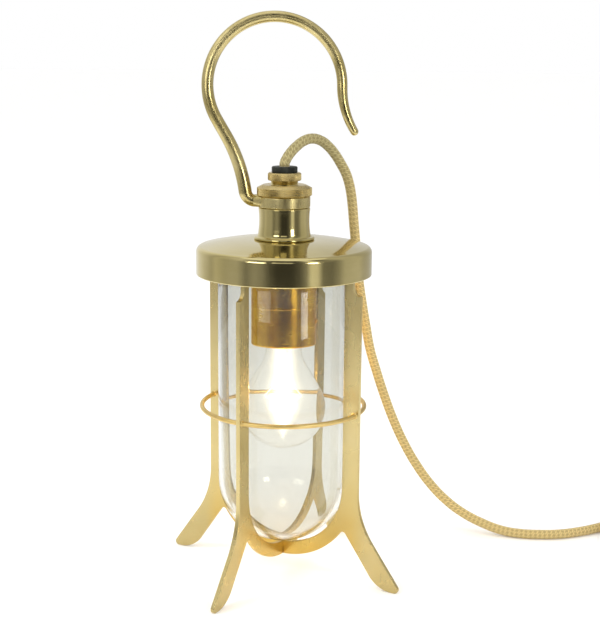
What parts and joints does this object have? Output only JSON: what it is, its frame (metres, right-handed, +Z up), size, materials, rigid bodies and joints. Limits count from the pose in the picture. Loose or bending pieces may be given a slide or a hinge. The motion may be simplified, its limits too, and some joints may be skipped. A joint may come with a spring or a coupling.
{
  "type": "ship lantern",
  "caption": "Brass ship lantern with a clear well glass in a four-legged cage, a domed lid, a swivel hook on top, a lit bulb inside and a braided cord.",
  "frame": {"origin": "on the floor, on the lantern's axis", "axes": "+Z up along the lantern's axis; the four legs lie on -Y, +X, +Y and -X; the hook's plane is 30 degrees round from +X towards +Y"},
  "size_m": [0.3866, 0.3404, 0.3991],
  "materials": {
    "satin_brass": "brushed, lacquered",
    "wire_brass": "drawn wire, soldered",
    "inner_brass": "machined",
    "steel": "bright zinc",
    "polished_brass": "polished and lacquered",
    "seal_rubber": "matt",
    "clear_glass": "clear blown glass",
    "amber_brass": "turned, warm lacquer",
    "ceramic": null,
    "contact_brass": "pressed sheet",
    "braid": "braided cotton over flex",
    "bulb_glass": "thin clear glass",
    "bulb_metal": "rolled thread",
    "bulb_black": "black glass insulator",
    "filament": "glowing",
    "hook_brass": "cast and polished by hand",
    "grip_black": "matt",
    "plug_plastic": "moulded",
    "pin_brass": "machined"
  },
  "bodies": {
    "lantern": {"cage_frame_y": "satin_brass", "cage_frame_x": "satin_brass", "guard_ring": "wire_brass", "ring_collars": "wire_brass", "top_ring": "inner_brass", "lid_screws": "steel", "lid": "polished_brass", "neck": "polished_brass", "neck_washer": "steel", "neck_nut": "inner_brass", "glass_gasket": "seal_rubber", "glass_well": "clear_glass", "holder_cap": "amber_brass", "holder_shell": "amber_brass", "holder_screws": "amber_brass", "holder_core": "ceramic", "holder_thread": "contact_brass", "centre_contact": "contact_brass", "terminal_screws": "steel", "inner_flex": "braid", "gland_body": "polished_brass", "gland_insert": "grip_black", "cord_lead": "braid", "cord_coil": "braid", "cord_tail": "braid", "cord_tie": "grip_black", "plug_cover": "plug_plastic", "plug_base": "plug_plastic", "plug_earth_pin": "pin_brass", "plug_line_pin": "pin_brass", "plug_neutral_pin": "pin_brass", "plug_fuse": "pin_brass", "plug_screw": "pin_brass", "plug_relief": "plug_plastic"},
    "bulb": {"bulb_glass": "bulb_glass", "bulb_cap": "bulb_metal", "bulb_insulator": "bulb_black", "bulb_contact": "bulb_metal", "bulb_stem": "bulb_glass", "bulb_filament": "filament"},
    "hook": {"hook": "hook_brass"},
    "hook_nut": {"hook_nut": "polished_brass"},
    "gland_nut": {"gland_nut": "polished_brass"}
  },
  "joints": [
    {"name": "hook_swivel", "type": "hinge", "parent": "lantern", "child": "hook", "pos_m": [0, 0, 0.2703], "axis": [0, 0, 1], "range_deg": [-110, 110]},
    {"name": "hook_nut_turn", "type": "hinge", "parent": "lantern", "child": "hook_nut", "pos_m": [0, 0, 0.278], "axis": [0, 0, 1], "continuous": true},
    {"name": "gland_nut_turn", "type": "hinge", "parent": "lantern", "child": "gland_nut", "pos_m": [0, 0, 0.2876], "axis": [0, 0, 1], "continuous": true},
    {"name": "bulb_turn", "type": "hinge", "parent": "lantern", "child": "bulb", "pos_m": [0, 0, 0.1875], "axis": [0, 0, 1], "continuous": true}
  ]
}
